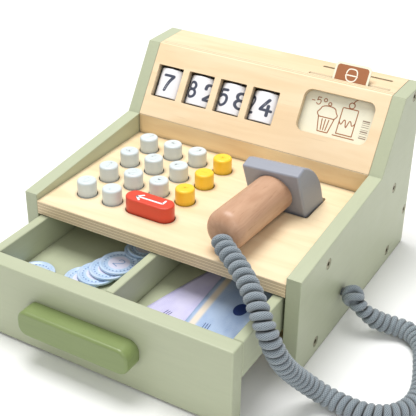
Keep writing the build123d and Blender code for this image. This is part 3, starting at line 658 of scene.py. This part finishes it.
DIGITS = {
    "0": [ring((0, 0), 0.28, 0.5)],
    "1": [curve_through([(-0.16, 0.32), (0.05, 0.5), (0.05, 0.5), (0.05, -0.5)])],
    "2": [curve_through([(-0.27, 0.22), (-0.27, 0.50), (0.02, 0.54), (0.32, 0.46), (0.30, 0.12), (0.0, -0.16),
                         (-0.29, -0.5), (-0.29, -0.5), (0.30, -0.5)])],
    "3": [curve_through([(-0.26, 0.36), (-0.10, 0.56), (0.30, 0.48), (0.28, 0.05), (-0.06, 0.03)]),
          curve_through([(-0.06, 0.03), (0.36, 0.02), (0.34, -0.48), (-0.08, -0.56), (-0.28, -0.34)])],
    "4": [curve_through([(0.10, 0.5), (0.10, 0.5), (-0.30, -0.18), (-0.30, -0.18), (0.30, -0.18)]),
          curve_through([(0.12, 0.12), (0.12, -0.5)])],
    "5": [curve_through([(0.25, 0.5), (-0.19, 0.5), (-0.19, 0.5), (-0.25, 0.03), (-0.25, 0.03), (-0.06, 0.19),
                         (0.30, 0.13), (0.33, -0.30), (0.10, -0.55), (-0.17, -0.50), (-0.28, -0.36)])],
    "6": [ring((0, -0.22), 0.27, 0.28),
          curve_through([(0.16, 0.5), (-0.12, 0.36), (-0.27, 0.10), (-0.27, -0.22)])],
    "7": [curve_through([(-0.28, 0.5), (0.28, 0.5), (0.28, 0.5), (0.02, 0.02), (-0.10, -0.5)])],
    "8": [ring((0, 0.26), 0.235, 0.24), ring((0, -0.23), 0.28, 0.27)],
    "9": [ring((0, 0.22), 0.27, 0.28),
          curve_through([(0.27, 0.22), (0.27, -0.10), (0.12, -0.36), (-0.16, -0.5)])],
    ".": [ring((0, -0.42), 0.04, 0.04, 10)],
    "+": [curve_through([(-0.3, 0), (0.3, 0)]), curve_through([(0, -0.3), (0, 0.3)])],
    "-": [curve_through([(-0.3, 0), (0.3, 0)])],
    "x": [curve_through([(-0.24, -0.24), (0.24, 0.24)]), curve_through([(-0.24, 0.24), (0.24, -0.24)])],
}


# Each drum's digits in order, and the angle where the first one stands, to the operator's left of the front.
DRUMS = {1: ("47582", -67), 2: ("58247", -94), 3: ("75824", -97), 4: ("82475", -123)}
DRUM_STEP, DRUM_DIGIT, DRUM_STRETCH, DRUM_STROKE = 68, 0.0136, 1.22, 0.0024
KEY_LEGENDS = {"a": "789+", "b": "456-", "c": "123x", "d": "0."}
KEY_DIGIT, KEY_STROKE, KEY_RAISED, KEY_SUNK = 0.0076, 0.0011, 0.00014, 0.00002
PRINT = 0.00005                                     # how far a printed mark stands out of its surface


def sized(strokes, height, at=(0.0, 0.0)):
    return [[Vector((at[0] + p.x * height, at[1] + p.y * height)) for p in stroke] for stroke in strokes]


def drum_digits():
    """Five digits round each drum."""
    dark = painted("digit_ink", INK, RIGHT, 0.06, 0.5)
    for number, (order, offset) in DRUMS.items():
        low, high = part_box(f"number_drum_{number}")
        middle, radius = (low + high) / 2, (high.x - low.x) / 2
        for i, digit in enumerate(order):
            facing = radians(offset + DRUM_STEP * i)

            def place(u, v, h, facing=facing):
                angle = facing + u * DRUM_STRETCH / radius
                around = RIGHT * sin(angle) + OUT_OF_SLOPE * cos(angle)
                return middle + UP_SLOPE * v + around * (radius + h)
            mark(f"drum_{number}_digit_{digit}", sized(DIGITS[digit], DRUM_DIGIT), DRUM_STROKE, place,
                 f"number_drum_{number}", dark, 0.00008)


def key_digits():
    """Shallow raised figures on the keys, in the keys' own paint, and an arrow on the long key."""
    pearl, yellow = bpy.data.materials["pearl"], bpy.data.materials["yellow"]
    for row, figures in KEY_LEGENDS.items():
        for column, figure in enumerate(figures, start=1):
            key = f"key_{row}{column}"
            low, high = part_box(key)
            middle = (low + high) / 2

            def place(u, v, h, middle=middle, top=high.z):
                return Vector((middle.x + u, middle.y + v, top + h - KEY_SUNK))
            mark(f"{key}_figure", sized(DIGITS[figure], KEY_DIGIT), KEY_STROKE, place, key,
                 yellow if column == 4 else pearl, KEY_RAISED)
    low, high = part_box("enter_key")
    middle = (low + high) / 2

    def on_key(u, v, h):
        return Vector((middle.x + u, middle.y + v, high.z + h))
    tip, reach, rise = (-0.0115, -0.0012), 0.0125, 0.0036
    arrow = [curve_through([(reach, rise), (reach, tip[1]), (reach, tip[1]), tip]),
             curve_through([(-0.0072, 0.0026), tip, tip, (-0.0072, -0.0050)])]
    white = painted("arrow_white", WHITE, RIGHT, 0.02, 0.5)
    mark("enter_key_arrow", arrow, 0.0017, on_key, "enter_key", white, 2 * PRINT)


CARD_X, CARD_DEPTH = 0.0700, 0.0065


def on_card(u, v, h):
    """A point of the category card's face: across it, up the slope, out of it."""
    return FOOT_OF_SLOPE + RIGHT * (CARD_X + u) + UP_SLOPE * v + OUT_OF_SLOPE * (h - CARD_DEPTH)


def rounded_area(across, up, radius, steps=6):
    """The outline of a rectangle with rounded corners."""
    (left, right), (bottom, top) = across, up
    outline = []
    for x, y, start in ((right, top, 0), (left, top, 90), (left, bottom, 180), (right, bottom, 270)):
        inner = (x + (radius if x == left else -radius), y + (radius if y == bottom else -radius))
        for k in range(steps + 1):
            angle = radians(start + 90 * k / steps)
            outline.append((inner[0] + radius * cos(angle), inner[1] + radius * sin(angle)))
    return outline


# The card's drawing, in metres across the card and up the slope.
CAKE = [[(0.0030, 0.0290), (0.0030, 0.0470), (0.0030, 0.0490), (0.0050, 0.0490), (0.0135, 0.0490),
         (0.0155, 0.0490), (0.0155, 0.0470), (0.0155, 0.0290)],
        [(0.0030, 0.0385), (0.0048, 0.0350), (0.0062, 0.0400), (0.0078, 0.0400), (0.0090, 0.0330),
         (0.0106, 0.0400), (0.0120, 0.0400), (0.0136, 0.0355), (0.0155, 0.0390)],
        [(0.0008, 0.0272), (0.0178, 0.0272)],
        [(0.0030, 0.0290), (0.0155, 0.0290)],
        [(0.0100, 0.0535), (0.0112, 0.0566), (0.0138, 0.0572)]]
CUP = [[(-0.0140, 0.0385), (-0.0140, 0.0385), (-0.0118, 0.0275), (-0.0118, 0.0275), (-0.0036, 0.0275),
        (-0.0036, 0.0275), (-0.0012, 0.0385), (-0.0012, 0.0385), (-0.0140, 0.0385)],
       [(-0.0140, 0.0388), (-0.0164, 0.0410), (-0.0140, 0.0436), (-0.0130, 0.0466), (-0.0076, 0.0476),
        (-0.0022, 0.0466), (-0.0012, 0.0436), (0.0012, 0.0410), (-0.0012, 0.0388)],
       [(-0.0104, 0.0370), (-0.0096, 0.0290)],
       [(-0.0077, 0.0370), (-0.0077, 0.0290)],
       [(-0.0050, 0.0370), (-0.0058, 0.0290)]]
TAB_CUP = [[(-0.0040, 0.0768), (-0.0040, 0.0768), (-0.0022, 0.0718), (0.0046, 0.0718), (0.0064, 0.0768),
            (0.0064, 0.0768), (-0.0040, 0.0768)],
           [(-0.0036, 0.0780), (-0.0032, 0.0818), (0.0012, 0.0826), (0.0056, 0.0818), (0.0060, 0.0780)]]
CHERRY, TOPPING = ((0.0094, 0.0516), 0.0022), ((-0.0076, 0.0490), 0.0012)       # centre and radius
DRAWING_SCALE = 1.12
BAR_WIDTHS = (0.9, 0.4, 0.5, 1.2, 0.4, 0.6, 1.0, 0.4, 0.4, 1.3, 0.5, 0.8, 0.4, 0.9, 0.5, 0.4, 1.1)    # mm
BARS_ACROSS, BARS_FOOT, BARS_SPREAD = (0.0222, 0.0286), 0.0275, 1.35
TAB_ACROSS, TAB_UP, TAB_CORNER = (-0.0130, 0.0154), (0.0640, 0.0850), 0.0026


def card_print():
    """The category card's printing: two cakes in outline, a price mark, bars and a brown tab with a cup."""
    brown = card_stock("print_brown", BROWN, srgb(150, 92, 54))
    taupe = card_stock("print_taupe", srgb(150, 128, 112), srgb(132, 112, 98))
    cream = card_stock("print_cream", srgb(250, 244, 228), srgb(240, 232, 212))
    strokes = [curve_through(stroke) for stroke in CAKE + CUP]
    (cherry, cherry_radius), (topping, topping_radius) = CHERRY, TOPPING
    strokes += [ring(cherry, cherry_radius, cherry_radius), ring(topping, topping_radius, topping_radius, 14)]

    def grown(p):
        return Vector((p.x * DRAWING_SCALE - 0.0010, (p.y - 0.0400) * DRAWING_SCALE + 0.0395))
    drawing = [[grown(p) for p in stroke] for stroke in strokes]
    mark("card_drawing", drawing, 0.0009, on_card, "card", brown, PRINT)
    price = [curve_through([(-0.0262, 0.0500), (-0.0238, 0.0500)])]
    price += sized(DIGITS["5"], 0.0060, (-0.0200, 0.0505))
    price += [ring((-0.0142, 0.0520), 0.0014, 0.0014, 16)]
    mark("card_price", price, 0.0008, on_card, "card", brown, PRINT)
    bars, foot, (left, right) = [], BARS_FOOT, BARS_ACROSS
    for i, width in enumerate(BAR_WIDTHS):
        if i % 2 == 0:
            top = foot + width * MM
            bars.append([(left, foot), (right, foot), (right, top), (left, top)])
        foot += width * BARS_SPREAD * MM
    mark("card_bars", [], 0.0, on_card, "card", taupe, PRINT, bars)
    tab = rounded_area(TAB_ACROSS, TAB_UP, TAB_CORNER)
    mark("card_tab", [], 0.0, on_card, "card", brown, PRINT, [tab])
    badge = [curve_through(stroke) for stroke in TAB_CUP]
    mark("card_tab_cup", badge, 0.0010, on_card, "card", cream, 2 * PRINT)


drum_digits()
key_digits()
card_print()


# ---- springs ---------------------------------------------------------------------------------------------
SPRING_RADIUS, SPRING_WIRE, SPRING_TURNS, SPRING_STEPS = 0.0033, 0.0003, 7, 20
ENTER_SPRINGS = {"left": -0.013, "right": 0.013}    # across, from the middle of the long key


def spring_line(x, y, foot, length):
    """A coil spring's wire: closed turns at both ends and open ones between."""
    path = []
    count = SPRING_TURNS * SPRING_STEPS
    for i in range(count + 1):
        t = i / count
        rise = smooth_step(t, 0.10, 0.90) * 0.75 + t * 0.25
        angle = 2 * pi * i / SPRING_STEPS
        path.append(Vector((x + SPRING_RADIUS * cos(angle), y + SPRING_RADIUS * sin(angle),
                            foot + length * rise)))
    return path


def key_springs():
    """A coil spring under each round key, and two under the long one."""
    wire = metal("spring_wire", srgb(176, 178, 182), 0.3)
    low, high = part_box("key_springs")
    foot, length = low.z + SPRING_WIRE, high.z - low.z - 2 * SPRING_WIRE
    springs = []
    for key in ROUND_KEYS:
        middle = sum(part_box(key), Vector()) / 2
        springs.append((key, key + "_spring", middle.x, middle.y))
    middle = sum(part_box("enter_key"), Vector()) / 2
    for side, offset in ENTER_SPRINGS.items():
        springs.append(("enter_key", f"enter_key_{side}_spring", middle.x + offset, middle.y))
    for key, name, x, y in springs:
        spring = tube(name, spring_line(x, y, foot, length), SPRING_WIRE, 8, "housing", (wire,))
        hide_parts("key_springs")
        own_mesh(spring)


key_springs()


# ---- cord and its knot -----------------------------------------------------------------------------------
sleeve = braid("braided_sleeve")
cord_path = strand_path()
cord = tube("coiled_cord", cord_path, STRAND / 2, 14, None, (sleeve,))
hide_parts("curly_cord", "cord_tail")
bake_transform(cord)
knot_low, knot_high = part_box("cord_knot")
knot_centre = (knot_low + knot_high) / 2
KNOT_SIZE, KNOT_STRAND = 0.00118, 0.0019
knot = tube("cord_end_knot", knot_path(knot_centre, KNOT_SIZE), KNOT_STRAND, 14, "housing", (sleeve,))
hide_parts("cord_knot")
tuple(cord_path[0])


# ---- play money ------------------------------------------------------------------------------------------
COIN_RADIUS, COIN_THICK, COIN_STEP = 0.0159, 0.0021, 0.0022
COIN_SIDES = 72
# Each coin: x, distance behind the side panels' front edges, its place in the stack and its turn in degrees.
COINS = [(-0.0860, -0.0390, 0, 20),
         (-0.0490, -0.0250, 0, -35), (-0.0420, -0.0165, 1, 60), (-0.0365, -0.0085, 2, 10),
         (-0.0320, -0.0010, 3, -20),
         (-0.0240, 0.0245, 0, 0), (-0.0250, 0.0260, 1, 40), (-0.0230, 0.0255, 2, 75),
         (-0.0255, 0.0245, 3, 15), (-0.0240, 0.0265, 4, -50)]
COIN_FACE = 0.62                                    # the sunk face's height, as a share of the thickness
# The coin's outline from its top's middle to its foot's: shares of the radius and of the thickness.
COIN_PROFILE = ((0.0, COIN_FACE), (0.30, COIN_FACE), (0.56, COIN_FACE), (0.60, 0.78), (0.64, COIN_FACE),
                (0.84, COIN_FACE), (0.88, 0.95), (0.91, 1.0), (0.96, 1.0), (0.99, 0.90), (1.0, 0.70),
                (1.0, 0.30), (0.99, 0.10), (0.96, 0.0), (0.0, 0.0))


def coin_finish():
    finish = Finish("coin_blue", 0.34, coat=0.3)
    mottle = finish.noise(finish.point(), 160.0, 4.0)
    fine = finish.noise(finish.point(), 1500.0, 3.0)
    tone = finish.mixed(finish.between(mottle, 0.35, 0.7), srgb(176, 202, 230), srgb(196, 214, 238))
    finish.colour(finish.mixed(finish.share(fine, 0.5, 0.8, 0.35), tone, srgb(226, 230, 244)))
    finish.relief(fine, 0.00003)
    return finish.material


def coin_body(name, foot, material):
    """A pressed coin with a raised rim, an inner ring and a finely milled edge."""
    vertices, faces = [], []
    for share, up in COIN_PROFILE:
        for k in range(COIN_SIDES):
            angle = 2 * pi * k / COIN_SIDES
            milled = 1.0 if share < 0.995 else 1.0 - 0.006 * (k % 2)
            radius = COIN_RADIUS * share * milled
            vertices.append(foot + Vector((radius * cos(angle), radius * sin(angle), up * COIN_THICK)))
    for row in range(len(COIN_PROFILE) - 1):
        near, far = row * COIN_SIDES, (row + 1) * COIN_SIDES
        for k in range(COIN_SIDES):
            after = (k + 1) % COIN_SIDES
            faces.append((near + k, far + k, far + after, near + after))
    return new_piece(name, vertices, faces, "drawer", (material,))


def play_coins():
    """The play coins, piled as they lie in the drawer, each with a pale centre, a figure and dots."""
    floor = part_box("play_coins")[0].z
    blue, ink = coin_finish(), card_stock("coin_ink", srgb(146, 170, 208), srgb(128, 156, 198))
    pale = card_stock("coin_pale", srgb(222, 222, 240), srgb(206, 208, 232))
    disc = [(p.x, p.y) for p in ring((0, 0), 0.0088, 0.0088, 48)[:-1]]
    dots = [ring((0.0115 * cos(a), 0.0115 * sin(a)), 0.0003, 0.0003, 8) for a in
            [2 * pi * k / 24 for k in range(24)]]
    for number, (x, back, level, turn) in enumerate(COINS, start=1):
        foot = Vector((x, FRONT + back, floor + level * COIN_STEP))
        coin = coin_body(f"coin_{number}", foot, blue)
        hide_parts("play_coins")
        spin = radians(turn)

        def place(u, v, h, foot=foot, spin=spin):
            turned = (u * cos(spin) - v * sin(spin), u * sin(spin) + v * cos(spin))
            return foot + Vector((*turned, h + COIN_FACE * COIN_THICK))
        mark(f"coin_{number}_centre", [], 0.0, place, "drawer", pale, 0.00006, [disc])
        figure = sized(DIGITS["152"[number % 3]], 0.0088)
        mark(f"coin_{number}_figure", figure + dots, 0.0009, place, "drawer", ink, 0.00012)


NOTE_SIZE, NOTE_THICK = (0.0458, 0.0878), 0.00028
NOTE_COLUMNS, NOTE_ROWS = 16, 30
# Each note: x, distance behind the side panels' front edges, turn in degrees, its foot's height and its curl.
NOTES = {"lilac": (0.0410, -0.0090, -14.0, 0.0, 0.0005), "blue": (0.0680, -0.0060, 4.0, 0.0009, 0.0004)}


def note_finish(name, base, second, band):
    """Banknote paper with fine wavy security lines and soft bands of colour."""
    finish = Finish(name, 0.55)
    u = finish.add("SeparateXYZ", {0: finish.uv()}, 0)
    v = u.node.outputs[1]
    wander = finish.noise(finish.add("CombineXYZ", {0: u, 1: v}), 6.0, 2.0)
    waves = finish.maths("SINE", finish.maths("ADD", finish.maths("MULTIPLY", v, 420.0),
                                              finish.maths("MULTIPLY", wander, 40.0)))
    cloud = finish.noise(finish.add("CombineXYZ", {0: u, 1: v}), 3.0, 4.0)
    fibres = finish.noise(finish.point(), 1500.0, 4.0)
    tone = finish.mixed(finish.between(cloud, 0.35, 0.65), base, second)
    tone = finish.mixed(finish.share(waves, 0.3, 0.9, 0.16), tone, srgb(246, 246, 252))
    edge = finish.maths("MULTIPLY", finish.between(u, 0.05, 0.10),
                        finish.maths("SUBTRACT", 1.0, finish.between(u, 0.16, 0.22)))
    tone = finish.mixed(finish.maths("MULTIPLY", edge, band), tone, srgb(238, 222, 196))
    finish.colour(finish.mixed(finish.share(fibres, 0.5, 0.8, 0.2), tone, srgb(230, 230, 244)))
    finish.relief(fibres, 0.00003)
    return finish.material


def note_body(name, lie, material):
    """A thin curled sheet with a UV map across and along it. lie places a point of the flat sheet."""
    vertices, faces, places = [], [], []
    width = NOTE_COLUMNS + 1
    for h in (NOTE_THICK, 0.0):
        for j in range(NOTE_ROWS + 1):
            for i in range(width):
                across, along = i / NOTE_COLUMNS, j / NOTE_ROWS
                places.append((across, along))
                vertices.append(lie((across - 0.5) * NOTE_SIZE[0], (along - 0.5) * NOTE_SIZE[1], h))
    under = (NOTE_ROWS + 1) * width
    for j in range(NOTE_ROWS):
        for i in range(NOTE_COLUMNS):
            a = j * width + i
            quad = (a, a + 1, a + width + 1, a + width)
            faces.append(quad)
            faces.append(tuple(under + v for v in reversed(quad)))
    rim = list(range(NOTE_COLUMNS)) + [j * width + NOTE_COLUMNS for j in range(NOTE_ROWS)]
    rim += [NOTE_ROWS * width + i for i in range(NOTE_COLUMNS, 0, -1)]
    rim += [j * width for j in range(NOTE_ROWS, 0, -1)]
    for a, b in zip(rim, rim[1:] + rim[:1]):
        faces.append((b, a, a + under, b + under))
    note = new_piece(name, vertices, faces, "drawer", (material,))
    layer = note.data.uv_layers.new(name="paper")
    for loop in note.data.loops:
        layer.data[loop.index].uv = places[loop.vertex_index]
    return note


def play_notes():
    """Two thin paper notes, a little curled, one over the other."""
    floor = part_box("play_notes")[0].z
    papers = {"lilac": note_finish("lilac_note", srgb(206, 202, 232), srgb(190, 186, 224), 0.0),
              "blue": note_finish("blue_note", srgb(172, 194, 224), srgb(148, 174, 212), 0.85)}
    navy = card_stock("note_ink", srgb(30, 56, 120), srgb(24, 46, 104))
    lines = []
    for k in range(3):
        x = -0.0040 - 0.002 * k
        lines.append(curve_through([(x, -0.034), (x, -0.018)]))
    for name, (x, back, turn, height, curl) in NOTES.items():
        spin = radians(turn)

        def lie(u, v, h, x=x, back=back, spin=spin, height=height, curl=curl):
            rise = curl * (0.5 + 0.5 * cos(2 * pi * (v / NOTE_SIZE[1] + 0.25 * u / NOTE_SIZE[0])))
            return Vector((x + u * cos(spin) - v * sin(spin), FRONT + back + u * sin(spin) + v * cos(spin),
                           floor + height + rise + h))

        def on_note(u, v, h, lie=lie):
            return lie(u, v, h + NOTE_THICK + 0.00002)
        note = note_body(f"note_{name}", lie, papers[name])
        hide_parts("play_notes")
        centre = (0.0080, 0.0080 if name == "blue" else 0.024)
        oval = [(p.x, p.y) for p in ring(centre, 0.0052, 0.0078, 32)[:-1]]
        mark(f"note_{name}_print", lines, 0.0005, on_note, "drawer", navy, PRINT, [oval])


play_coins()
play_notes()


# ---- floor and light -------------------------------------------------------------------------------------
FLOOR_HALF = 6.0
LIT_AT = Vector((0, 0.02, 0.06))
WORLD_STRENGTH = 0.54
# Each lamp: its name, place, size in metres and power in watts.
LAMPS = (("key_light", (-0.25, 0.08, 1.5), 0.9, 21.0), ("fill_light", (0.9, -1.0, 1.0), 1.0, 4.5))


def studio():
    finish = Finish("floor", 0.75)
    finish.colour(finish.mixed(finish.noise(finish.point(), 8.0), srgb(247, 247, 245), srgb(250, 250, 249)))
    corners = [(-FLOOR_HALF, -FLOOR_HALF, 0), (FLOOR_HALF, -FLOOR_HALF, 0), (FLOOR_HALF, FLOOR_HALF, 0),
               (-FLOOR_HALF, FLOOR_HALF, 0)]
    floor = new_piece("floor", corners, [(0, 1, 2, 3)], None, (finish.material,))
    world = bpy.data.worlds.new("studio")
    bpy.context.scene.world = world
    world.use_nodes = True
    background = world.node_tree.nodes["Background"]
    background.inputs["Color"].default_value = (1.0, 1.0, 1.0, 1.0)
    background.inputs["Strength"].default_value = WORLD_STRENGTH
    for name, at, size, power in LAMPS:
        lamp = bpy.data.lights.new(name, "AREA")
        lamp.shape, lamp.size, lamp.energy = "DISK", size, power
        holder = bpy.data.objects.new(name, lamp)
        bpy.context.scene.collection.objects.link(holder)
        holder.location = at
        holder.rotation_euler = (LIT_AT - Vector(at)).to_track_quat("-Z", "Y").to_euler()


studio()
bpy.context.scene.view_settings.view_transform = "Standard"
